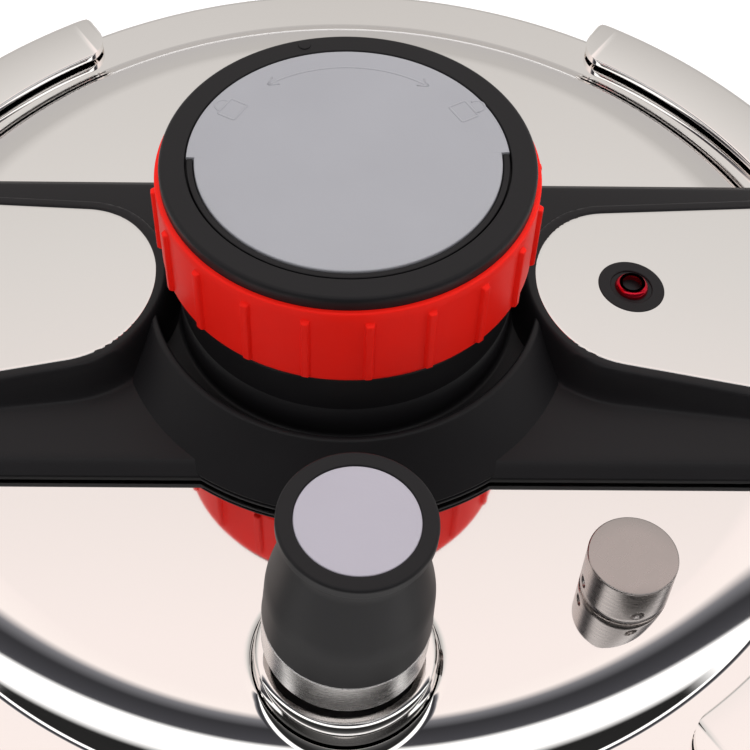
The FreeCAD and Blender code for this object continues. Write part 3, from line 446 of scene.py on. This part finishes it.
# One closed loop of points across the cover at each station along it; the ends follow the lid's circle.
def coverPiece():
    bend, end = arm["bendFrom"], arm["endR"]
    right = np.concatenate([np.arange(0.75, 30, 1.5), np.arange(30.5, bend, 0.6),
                            np.arange(bend + 0.5, end - 0.1, 1.5),
                            end - np.array([0.8, 0.55, 0.3, 0.1, 0.0])])
    station = np.concatenate([-right[::-1], right])
    half = plateHalf(np.maximum(np.abs(station), plate["cheekX"]))

    def sideLines(edge):
        crease = edge - arm["creaseIn"]
        foot = half + arm["foot"]
        lines = [half * share for share in np.linspace(0, 0.95, 20)]
        lines += [half + step for step in (-0.9, -0.45, -0.2, 0.0, 0.25, 1.0, 1.9)]
        lines += [half + step for step in np.linspace(2.3, arm["foot"], 9)]
        lines += [foot + (crease - foot) * share for share in np.linspace(0, 1, 9)[1:-1]]
        lines += [crease + step for step in (-0.3, 0.0, 0.3)]
        lines += [crease + (edge - crease) * share for share in (0.35, 0.6, 0.85, 0.95, 1.0)]
        return np.array(lines)

    back = sideLines(np.full_like(station, arm["back"]))
    front = sideLines(np.full_like(station, arm["front"]))
    y = np.concatenate([back[::-1], -front[1:]])
    x = toLidCircle(station, y)
    z = coverHeight(x, y)
    rounding = arm["endRound"]
    inset = np.clip(rounding - (end - np.abs(station)), 0, rounding)
    z -= (rounding - np.sqrt(rounding ** 2 - inset ** 2))[None, :]

    hollow, hollowZ, lift = arm["hollowHalf"], arm["hollowZ"], arm["lift"]
    across, level = np.array([(-hollow - 4, lift), (-hollow, lift), (-hollow + 0.2, hollowZ), (0, hollowZ),
                              (hollow - 0.2, hollowZ), (hollow, lift), (hollow + 4, lift)]).T
    underY = np.repeat(across[:, None], len(station), 1)
    underZ = np.repeat(level[:, None], len(station), 1)
    ground = np.full_like(station, lift)
    loopX = np.concatenate([x, x[[-1, -1]], toLidCircle(station, underY), x[[0, 0]]])
    loopY = np.concatenate([y, y[[-1, -1]], underY, y[[0, 0]]])
    loopZ = np.concatenate([z, [z[-1] - arm["lipThick"], ground], underZ, [ground, z[0] - arm["lipThick"]]])
    grid = np.stack([loopX, loopY, loopZ + lidTop], -1)
    piece = gridMesh("lidCover", grid.transpose(1, 0, 2), capEnds=True)
    piece.data.set_sharp_from_angle(angle=math.radians(55))
    edge, shoulder, top, floor = hub["edgeR"], hub["shoulderR"], hub["topZ"], hub["grooveZ"]
    middle = turned("coverHub", [(hub["boreR"], 5, 0), (58, 5, 0), (59.5, arm["lift"], 0),
                                 (edge, arm["lift"], 0.3),
                                 (edge, 1.7, 0.15), (edge - 0.6, 1.75, 0), (edge - 0.6, 2.3, 0),
                                 (edge - 0.1, 2.4, 0.2),
                                 (edge - 0.1, hub["edgeZ"] + 0.3, 0.5), (shoulder, top, 1.6),
                                 (hub["grooveR"], top, 0.6),
                                 (hub["grooveR"] - 0.3, floor, 1.2), (hub["neckR"] + 0.4, floor, 1.2),
                                 (hub["neckR"], 17, 0),
                                 (hub["neckR"] - 0.6, hub["neckTop"], 0.8),
                                 (hub["boreR"], hub["neckTop"], 0)][::-1],
                    segments=256, closed=True, place=lifted)
    finished(joined(piece, middle), "lid", "black_plastic", "bridge_cover")


def lifted(grid, normals):
    grid[..., 2] += lidTop
    return grid, normals


# knob: ribbed grip, flat rim with a pip, and a disc that a black crescent narrows in front
knob = {"r": 44.0, "gripR": 45.2, "low": 31.6, "seam": 55.0, "top": 58.7,
        "rimInner": 37.9, "discR": 37.6, "discFrontR": 35.75, "discTop": 58.5, "crescentTop": 58.2,
        "stepRight": 3.0, "stepLeft": 181.1, "ribs": 20, "ribHalf": 1.0, "ribProud": 1.1, "ribTurn": 6.0,
        "ribLow": 33.0, "ribHigh": 51.8, "pipTall": 0.25, "pipAt": (-10.8, 39.7)}


# The rib's share of its full height across a distance, rounded over 0.45 mm at its edge.
def ribRise(distance, half):
    return np.sqrt(np.clip(1 - np.clip((np.abs(distance) - half + 0.45) / 0.5, 0, 1) ** 2, 0, 1))


def gripPiece():
    acrossRib = np.array([-2.6, -1.7, -1.12, -1.04, -0.95, -0.8, -0.65, -0.4, 0, 0.4, 0.65, 0.8, 0.95, 1.04,
                          1.12, 1.7, 2.6])
    between = np.linspace(3.5, 2 * math.pi * knob["gripR"] / knob["ribs"] - 3.5, 6)
    offsets = np.concatenate([acrossRib, between]) / knob["gripR"]
    pitch = 2 * math.pi / knob["ribs"]
    first = math.radians(-90 + knob["ribTurn"])
    angle = (first + pitch * np.arange(knob["ribs"])[:, None] + offsets).ravel()
    fromRib = np.tile(np.concatenate([acrossRib, between]), knob["ribs"])
    low, high = knob["ribLow"], knob["ribHigh"]
    levels = np.concatenate([[knob["low"] + 1.0], low + np.array([-0.3, -0.12, -0.04, 0.05, 0.2, 0.35, 0.6]),
                             np.linspace(low + 1.5, high - 1.5, 8),
                             high - np.array([0.6, 0.35, 0.2, 0.05, -0.04, -0.12, -0.3]),
                             [knob["seam"] - 0.4]])
    middle, halfTall = (low + high) / 2, (high - low) / 2
    rise = ribRise(levels - middle, halfTall)[:, None] * ribRise(fromRib, knob["ribHalf"])[None, :]
    wallR = knob["gripR"] + knob["ribProud"] * rise
    inner = knob["gripR"] - 3.6
    rim = [(inner, knob["low"]), (knob["gripR"] - 0.8, knob["low"]),
           (knob["gripR"] - 0.25, knob["low"] + 0.3)]
    cap = [(knob["gripR"] - 0.15, knob["seam"] - 0.1), (knob["gripR"] - 0.5, knob["seam"]),
           (inner, knob["seam"])]
    radius = np.concatenate([np.tile([[r] for r, _ in rim], len(angle)), wallR,
                             np.tile([[r] for r, _ in cap], len(angle))])
    z = np.concatenate([[z for _, z in rim], levels, [z for _, z in cap]])
    grid = np.stack([radius * np.cos(angle), radius * np.sin(angle),
                     np.broadcast_to(z[:, None], radius.shape) + lidTop], -1)
    piece = gridMesh("knobGrip", grid[::-1], wrapRows=True)
    piece.data.set_sharp_from_angle(angle=math.radians(60))
    finished(piece, "knob", "red_plastic", "knob_grip_ring")


# A closed section of (radius, z) points carried round an arc, its radii kept within limits given per station.
def arcSweep(name, section, angles, least, most):
    radius = np.clip(section[None, :, 0], least[:, None], most[:, None])
    grid = np.stack([radius * np.cos(angles)[:, None], radius * np.sin(angles)[:, None],
                     np.broadcast_to(section[None, :, 1], radius.shape)], -1)
    piece = gridMesh(name, grid, capEnds=True)
    piece.data.set_sharp_from_angle(angle=math.radians(50))
    return piece


def knobTop():
    top = lidTop + knob["top"] - knob["pipTall"]  # only the pip reaches the knob's full height
    seam = lidTop + knob["seam"]
    rim = turned("knobRim", [(knob["rimInner"] - 4, seam, 0), (knob["rimInner"] - 4, top - 2.2, 0),
                             (knob["rimInner"], top - 2.2, 0),
                             (knob["rimInner"], top, 0.35), (knob["r"], top, 1.1), (knob["r"], seam, 0)],
                             closed=True)
    crescent = lidTop + knob["crescentTop"]
    section, _ = outline([(knob["discFrontR"] + 0.25, crescent - 2, 0),
                          (knob["discFrontR"] + 0.25, crescent, 0.3),
                          (knob["discR"] - 0.1, crescent, 0.3), (knob["discR"] - 0.1, crescent - 2, 0)][::-1],
                          4, closed=True)
    angles = np.radians(np.linspace(knob["stepLeft"] - 360 + 0.5, knob["stepRight"] - 0.5, 160))
    flat = np.ones(len(angles))
    step = arcSweep("knobStep", section, angles, 0 * flat, 99 * flat)
    dot = turned("knobPip", [(0, top + knob["pipTall"], 0), (1.5, top + knob["pipTall"], 0.25),
                             (1.7, top - 0.3, 0)],
                 centre=knob["pipAt"], segments=48)
    finished(joined(rim, step, dot), "knob", "black_plastic", "knob_rim")

    fine = np.linspace(-0.9, 0.9, 13)
    angle = np.unique(np.round(np.concatenate([np.linspace(0, 360, 240, endpoint=False),
                                               knob["stepRight"] + fine,
                                               knob["stepLeft"] + fine]) % 360, 4))
    pastRight = smoothStep((angle - knob["stepRight"] + 0.15) / 0.3)
    beforeLeft = smoothStep((knob["stepLeft"] - angle + 0.15) / 0.3)
    inside = pastRight * beforeLeft  # 1 on the far part of the disc, 0 where the crescent narrows it
    edgeR = knob["discFrontR"] + (knob["discR"] - knob["discFrontR"]) * inside
    turn = np.radians(angle)
    level = lidTop + knob["discTop"]
    quarter = np.linspace(0, math.pi / 2, 6)
    rings = [(0.0, level, 0.0), (0.5, level, 0.0), (0.9, level, 0.0)]
    rings += [(1.0, level - 0.35 * (1 - math.cos(a)), -0.35 * (1 - math.sin(a))) for a in quarter]
    rings += [(1.0, level - 1.7, 0.0), (0.0, level - 1.7, 0.0)]
    grid = np.array([np.stack([(edgeR * share + extra) * np.cos(turn), (edgeR * share + extra) * np.sin(turn),
                               np.full_like(turn, z)], -1) for share, z, extra in rings])
    piece = gridMesh("knobDisc", grid)
    piece.data.set_sharp_from_angle(angle=math.radians(60))
    finished(piece, "knob", "grey_plastic", "knob_disc")


# A thin rounded bead along a path, raised from the disc; half is its half width.
def bead(name, path, half=0.3, high=0.1, closed=False):
    path = np.array(path, float)
    onward = np.roll(path, -1, 0) - np.roll(path, 1, 0)
    if not closed:
        onward[0], onward[-1] = path[1] - path[0], path[-1] - path[-2]
    side = np.stack([-onward[:, 1], onward[:, 0]], -1)
    side /= np.linalg.norm(side, axis=1, keepdims=True)
    level = lidTop + knob["discTop"]
    across = [(-half, -0.3), (-half, 0.0), (-half * 0.55, high * 0.8), (0, high), (half * 0.55, high * 0.8),
              (half, 0.0), (half, -0.3)]
    grid = np.array([[(*(spot + way * offset), level + z) for offset, z in across[::-1]] for spot,
                     way in zip(path, side)])
    return gridMesh(name, grid, wrapRows=closed, capEnds=not closed)


# Turn signs on the disc: a long arc with arrowheads, a closed padlock on one side and an open one on the other.
signs = {"arcR": 31.5, "arcFrom": 52.0, "arcTo": 128.0, "head": 3.0, "lockR": 31.8, "lockLeft": 150.0,
         "lockRight": 30.0,
         "wide": 3.0, "tall": 2.3, "shackle": 1.9}


def padlock(name, place, opened):
    turn = math.radians(place)
    outward = np.array([math.cos(turn), math.sin(turn)])
    along = np.array([-outward[1], outward[0]])
    middle = outward * signs["lockR"]

    def spot(a, b):
        return middle + along * a + outward * b

    wide, tall = signs["wide"], signs["tall"]
    body = [spot(a, b) for a, b in outline([(-wide, -tall, 0.5), (wide, -tall, 0.5), (wide, tall, 0.5),
                                            (-wide, tall, 0.5)],
                                           4, closed=True)[0]]
    sweep = np.linspace(0, math.pi, 12)
    lift = 1.4 if opened else 0.4
    hoop = [(signs["shackle"], tall - 0.1 if not opened else tall + 1.0)]
    hoop += [(signs["shackle"] * math.cos(a), tall + lift + signs["shackle"] * math.sin(a)) for a in sweep]
    hoop += [(-signs["shackle"], tall - 0.1)]
    return joined(bead(name, body, closed=True), bead(name + "Hoop", [spot(a, b) for a, b in hoop]))


def signPieces():
    angles = np.radians(np.linspace(signs["arcFrom"], signs["arcTo"], 48))
    arc = np.stack([signs["arcR"] * np.cos(angles), signs["arcR"] * np.sin(angles)], -1)
    parts = [bead("turnArc", arc)]
    for end, way in ((arc[0], 1), (arc[-1], -1)):
        turn = math.atan2(end[1], end[0])
        onward = np.array([-math.sin(turn), math.cos(turn)]) * way
        outward = np.array([math.cos(turn), math.sin(turn)])
        for side in (-1, 1):
            parts.append(bead("turnHead",
                              [end,
                               end + onward * signs["head"] * 0.8 + outward * side * signs["head"] * 0.5]))
    parts += [padlock("lockShut", signs["lockLeft"], False), padlock("lockOpen", signs["lockRight"], True)]
    piece = joined(*parts)
    finished(piece, "knob", "grey_plastic")


# regulator: leans on the vent pipe, so its pieces are turned about the pipe's middle
regulator = {"low": 12.1, "ringR": 18.0, "ringTall": 10.2, "tall": 45.5, "waistR": 13.6, "collarR": 15.9,
             "discR": 12.5,
             "coreR": 11.0, "band": 1.6, "lean": 2.4, "pivot": 19.0}


def leaned(grid, normals):
    turn = math.radians(regulator["lean"])
    c, s = math.cos(turn), math.sin(turn)
    z = grid[..., 2] - regulator["pivot"]
    moved = np.stack([grid[..., 0] * c + z * s, grid[..., 1],
                      lidTop + regulator["pivot"] - grid[..., 0] * s + z * c], -1)
    turnedNormals = np.stack([normals[..., 0] * c + normals[..., 2] * s, normals[..., 1],
                              -normals[..., 0] * s + normals[..., 2] * c], -1)
    return moved, turnedNormals


def regulatorPieces():
    centre = (boss["x"], boss["y"])
    low = regulator["low"]
    seam, top = low + regulator["ringTall"], low + regulator["tall"]
    core, ringR = regulator["coreR"], regulator["ringR"]
    inner = ringR - regulator["band"]
    ring = turned("regulatorRing", [(inner, seam, 0), (ringR + 0.1, seam, 0.25), (ringR, low, 0.35),
                                    (inner, low, 0.35)],
                  centre=centre, closed=True, place=leaned, segments=192)
    finished(ring, "regulator", "turned_steel", "regulator_ring")
    collar, disc = regulator["collarR"], regulator["discR"]
    shell = turned("regulatorGrip", [(0, top - 1.2, 0), (disc, top - 1.2, 0), (disc, top, 0.3),
                                     (collar, top, 0.7),
                                     (collar, top - 2.6, 0.7), (regulator["waistR"] + 0.5, top - 3.6, 2.0),
                                     (regulator["waistR"] + 0.1, top - 7.0, 9.0),
                                     (ringR - 0.5, seam + 12.0, 26.0),
                                     (ringR, seam, 0.3), (inner, seam, 0), (inner, low + 1.0, 0),
                                     (core, low + 1.0, 0),
                                     (core, low + 36, 0), (0, low + 36, 0)],
                   centre=centre, place=leaned, segments=192, steps=14)
    finished(shell, "regulator", "black_plastic", "regulator_shell")
    face = turned("regulatorFace", [(0, top - 0.12, 0), (disc - 0.06, top - 0.12, 0.3),
                                    (disc - 0.06, top - 1.2, 0), (0, top - 1.2, 0)],
                  centre=centre, place=leaned, segments=192)
    finished(face, "regulator", "pale_plastic", "regulator_disc")


# safety valve cap: a short drum with four vent holes near its foot
cap = {"x": 64.0, "y": -79.4, "r": 10.2, "low": 0.5, "top": 13.5, "holeR": 1.35, "holeZ": 4.1,
       "holeDepth": 1.1, "holeTurn": -83.0}


def safetyPiece():
    angle = np.linspace(0, 2 * np.pi, 320, endpoint=False)
    levels = np.concatenate([[cap["low"] + 0.3], np.linspace(cap["holeZ"] - 1.7, cap["holeZ"] + 1.7, 27),
                             np.linspace(7, cap["top"] - 0.4, 5)])
    depth = np.zeros((len(levels), len(angle)))
    for i in range(4):
        place = math.radians(cap["holeTurn"] + 90 * i)
        away = (angle - place + np.pi) % (2 * np.pi) - np.pi
        distance = np.hypot(away[None, :] * cap["r"], levels[:, None] - cap["holeZ"])
        depth += cap["holeDepth"] * (1 - smoothStep((distance - cap["holeR"] + 0.15) / 0.3))
    wall = cap["r"] - depth
    quarter = np.linspace(0, np.pi / 2, 5)
    below = [(0.0, cap["low"]), (cap["r"] - 0.3, cap["low"])]
    above = [(cap["r"] - 0.4 * (1 - math.cos(a)), cap["top"] - 0.4 + 0.4 * math.sin(a)) for a in quarter]
    above += [(cap["r"] * 0.6, cap["top"]), (0.0, cap["top"])]
    radius = np.concatenate([np.tile([[r] for r, _ in below], len(angle)), wall,
                             np.tile([[r] for r, _ in above], len(angle))])
    z = np.concatenate([[z for _, z in below], levels, [z for _, z in above]])
    grid = np.stack([cap["x"] + radius * np.cos(angle), cap["y"] + radius * np.sin(angle),
                     np.broadcast_to(z[:, None], radius.shape) + lidTop], -1)
    piece = gridMesh("safetyCap", grid[::-1])
    piece.data.set_sharp_from_angle(angle=math.radians(50))
    finished(piece, "lid", "dark_steel", "safety_cap")


# The bezel lies along the arm's slope.
def sloped(grid, normals):
    grid[..., 2] += lidTop + crest(floatValve["x"]) - arm["slope"] * grid[..., 0]
    return grid, normals


def floatPieces():
    top = crest(floatValve["x"]) + floatValve["proud"]
    r, bore = floatValve["r"], floatValve["boreR"]
    pin = turned("floatPin", [(0, top - 5, 0), (bore, top - 5, 0.2), (bore, top - 0.2, 0.8),
                              (r - 0.3, top, 1.6), (r, top - 3.0, 0.8),
                              (r - 0.5, top - 3.8, 0.4), (r - 0.5, floatValve["low"] + 1.4, 0),
                              (r + 1.6, floatValve["low"] + 1.4, 0.4),
                              (r + 1.6, floatValve["low"], 0.4), (0, floatValve["low"], 0)],
                 centre=(floatValve["x"], 0.0), segments=128, place=lifted)
    finished(pin, "float_pin", "red_aluminium", "float_pin")
    outer, inner = floatValve["bezelR"], floatValve["bezelInner"]
    bezel = turned("floatBezel", [(inner, -5, 0), (inner, -0.1, 0.4), (outer, -0.1, 0.35), (outer, -1.2, 0),
                                  (outer - 1.6, -5, 0)],
                   centre=(floatValve["x"], 0.0), segments=128, closed=True, place=sloped)
    finished(bezel, "lid", "black_plastic", "float_bezel")


# jaws: a curved channel with round-cornered ends
jaw = {"innerR": 134.7, "wallR": 151.8, "outerR": 154.0, "thick": 2.2, "lipR": 136.0,
       "edge": 3.0, "halfAngle": 57.5, "cornerInner": 9.0, "cornerOuter": 5.0}


def jawPiece(side, name, body, cadNode):
    low, high = (np.array(corner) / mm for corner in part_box(cadNode))
    top = high[2]
    section, _ = outline([(jaw["innerR"], top, 0.7), (jaw["innerR"], top - jaw["thick"], 0.7),
                          (jaw["wallR"], top - jaw["thick"], 1.0),
                          (jaw["wallR"], low[2] + jaw["thick"], 1.0),
                          (jaw["lipR"], low[2] + jaw["thick"], 0.6), (jaw["lipR"], low[2], 0.6),
                          (jaw["outerR"], low[2], jaw["edge"]), (jaw["outerR"], top, jaw["edge"])], 6,
                          closed=True)
    half = math.radians(jaw["halfAngle"])
    bend = 10.0 / jaw["innerR"] * (1 - np.cos(np.linspace(0, math.pi / 2, 22)))
    angles = np.concatenate([-half + bend,
                             np.linspace(-half + 10.5 / jaw["innerR"], half - 10.5 / jaw["innerR"], 150),
                             (half - bend)[::-1]])
    fromEnd = half - np.abs(angles)
    inner, outer = jaw["cornerInner"], jaw["cornerOuter"]
    inGone = np.clip(inner - fromEnd * jaw["innerR"], 0, inner)
    outGone = np.clip(outer - fromEnd * jaw["outerR"], 0, outer)
    least = jaw["innerR"] + inner - np.sqrt(inner ** 2 - inGone ** 2)
    most = jaw["outerR"] - outer + np.sqrt(outer ** 2 - outGone ** 2)
    if side < 0:
        angles = angles + math.pi
    finished(arcSweep(name, section, angles, least, most), body, "polished_steel", cadNode)


# pot: straight wall with a rolled foot, welded rim ring and layered base
pot = {"innerR": 130.0, "wall": 1.2, "footR": 14.0, "baseThick": 6.0, "baseR": 116.0, "rimR": 143.0,
       "rimTop": 237.2}


def potPieces():
    inner, outer, base = pot["innerR"], pot["innerR"] + pot["wall"], pot["baseThick"]
    top = pot["rimTop"]
    body = turned("potWall", [(0, base + pot["wall"], 0), (inner, base + pot["wall"],
                                                           pot["footR"] - pot["wall"]), (inner, top - 1.2, 0),
                              (outer, top - 1.2, 0), (outer, base, pot["footR"]), (0, base, 0)], segments=320,
                              steps=16)
    finished(body, "pot", "polished_steel", "pot_body")
    body.data.materials[0] = finishes["brushed_wall"]  # the same steel as the lid, but brushed
    rim = turned("potRim", [(inner, top, 0.5), (pot["rimR"], top, 0.5), (pot["rimR"], top - 1.2, 0.5),
                            (inner, top - 1.2, 0)],
                 segments=320, closed=True)
    finished(rim, "pot", "polished_steel", "pot_rim")
    grooves = []
    for radius in (30, 55, 80):
        grooves += [(radius, 0, 0.2), (radius + 0.5, 0.35, 0.2), (radius + 1.0, 0, 0.2)]
    disc = turned("potBase", [(0, base, 0), (pot["baseR"], base, 0.3), (pot["baseR"], base / 2, 1.0),
                              (pot["baseR"] - 3, 0, 1.5)]
                  + grooves[::-1] + [(0, 0, 0)], segments=256)
    finished(disc, "pot", "base_steel", "base_disc")


lidPiece()
for side, word in ((1, "right"), (-1, "left")):
    platePiece(side, "armPlate." + word, "arm_plate_" + word)
print("lid and plates ready")
coverPiece()
print("cover ready")
gripPiece()
knobTop()
signPieces()
print("knob ready")
regulatorPieces()
safetyPiece()
floatPieces()
print("valves ready")
for side, word in ((1, "right"), (-1, "left")):
    jawPiece(side, "jaw." + word, "jaw_" + word, "jaw_" + word)
potPieces()
print("jaws and pot ready")

# camera: eye in mm from the middle of the lid, turned down, then a little sideways and round
view = {"eye": (-3.8, -250.6, 294.9), "down": 51.80, "yaw": -1.107, "roll": 1.28, "lens": 70.66,
        "shift": (0.036, 0.0013)}


def addCamera():
    data = bpy.data.cameras.new("camera")
    data.lens = view["lens"]
    data.sensor_width = 36.0
    data.shift_x, data.shift_y = view["shift"]
    data.clip_start = 0.01
    cameraObject = bpy.data.objects.new("camera", data)
    scene.collection.objects.link(cameraObject)
    x, y, z = view["eye"]
    tilt = Matrix.Rotation(math.radians(90 - view["down"]), 4, "X")
    heading = Matrix.Rotation(math.radians(view["yaw"]), 4, "Z")
    roll = Matrix.Rotation(math.radians(view["roll"]), 4, "Z")
    cameraObject.matrix_world = Matrix.Translation((x * mm, y * mm,
                                                    (z + lidTop) * mm)) @ heading @ tilt @ roll
    scene.camera = cameraObject


def addFloor():
    floor = gridMesh("floor", np.array([[(x, y, 0.0) for x in (-4000, 4000)] for y in (4000, -4000)], float),
                     False)
    made, tree, shader = material("floorPaper", Roughness=0.9)
    shader.inputs["Base Color"].default_value = (0.93, 0.93, 0.93, 1)
    floor.data.materials.append(made)


# Brightness of the studio by its angle over the object, from the far horizon (0) through overhead (90) to
# the near horizon (180): a broad soft box at the far side, a dark strip, a bright strip, a dark near side.
studio = {"far": [(0, 0.55, 0.53, 0.52), (30, 0.58, 0.56, 0.54), (45, 0.78, 0.755, 0.73),
                  (62, 1.08, 0.975, 0.945),
                  (74, 1.12, 1.02, 0.98), (79, 0.22, 0.22, 0.24), (86, 0.04, 0.04, 0.045),
                  (98, 0.07, 0.07, 0.08),
                  (101, 1.5, 1.5, 1.5), (118, 1.5, 1.5, 1.5), (124, 0.02, 0.02, 0.02),
                  (150, 0.03, 0.03, 0.03),
                  (180, 0.12, 0.12, 0.12)]}


def addWorld():
    world = bpy.data.worlds.new("studio")
    world.use_nodes = True
    tree = world.node_tree
    coords = tree.nodes.new("ShaderNodeTexCoord")
    parts = tree.nodes.new("ShaderNodeSeparateXYZ")
    tree.links.new(coords.outputs["Generated"], parts.inputs["Vector"])
    angle = tree.nodes.new("ShaderNodeMath")
    angle.operation = "ARCTAN2"
    tree.links.new(parts.outputs["Z"], angle.inputs[0])
    tree.links.new(parts.outputs["Y"], angle.inputs[1])
    share = node(tree, "MapRange", From_Min=0.0, From_Max=math.pi, To_Min=0.0, To_Max=1.0)
    tree.links.new(angle.outputs["Value"], share.inputs["Value"])
    ramp = tree.nodes.new("ShaderNodeValToRGB").color_ramp
    rampNode = [n for n in tree.nodes if n.bl_idname == "ShaderNodeValToRGB"][0]
    while len(ramp.elements) > 1:
        ramp.elements.remove(ramp.elements[-1])
    for i, (degrees, red, green, blue) in enumerate(studio["far"]):
        stop = ramp.elements[0] if i == 0 else ramp.elements.new(degrees / 180)
        stop.position = degrees / 180
        stop.color = (red, green, blue, 1)
    tree.links.new(share.outputs["Result"], rampNode.inputs["Fac"])
    back = tree.nodes["Background"]
    tree.links.new(rampNode.outputs["Color"], back.inputs["Color"])
    scene.world = world


# Soft lamps that light the colours but leave no mirror image in the steel.
lamps = [("overLamp", (0.1, 0.9, 1.9), 2.2, 31.0), ("frontLamp", (-0.5, -1.5, 1.3), 1.6, 12.0),
         ("sideLamp", (1.6, -0.2, 1.1), 1.4, 7.0)]


def addLamps():
    for name, spot, size, watts in lamps:
        data = bpy.data.lights.new(name, "AREA")
        data.shape = "DISK"
        data.size = size
        data.energy = watts
        lamp = bpy.data.objects.new(name, data)
        lamp.location = spot
        lamp.rotation_euler = (Vector((0, 0, 0.2)) - lamp.location).to_track_quat("-Z", "Y").to_euler()
        lamp.visible_glossy = False
        scene.collection.objects.link(lamp)


addLamps()
addCamera()
addFloor()
addWorld()
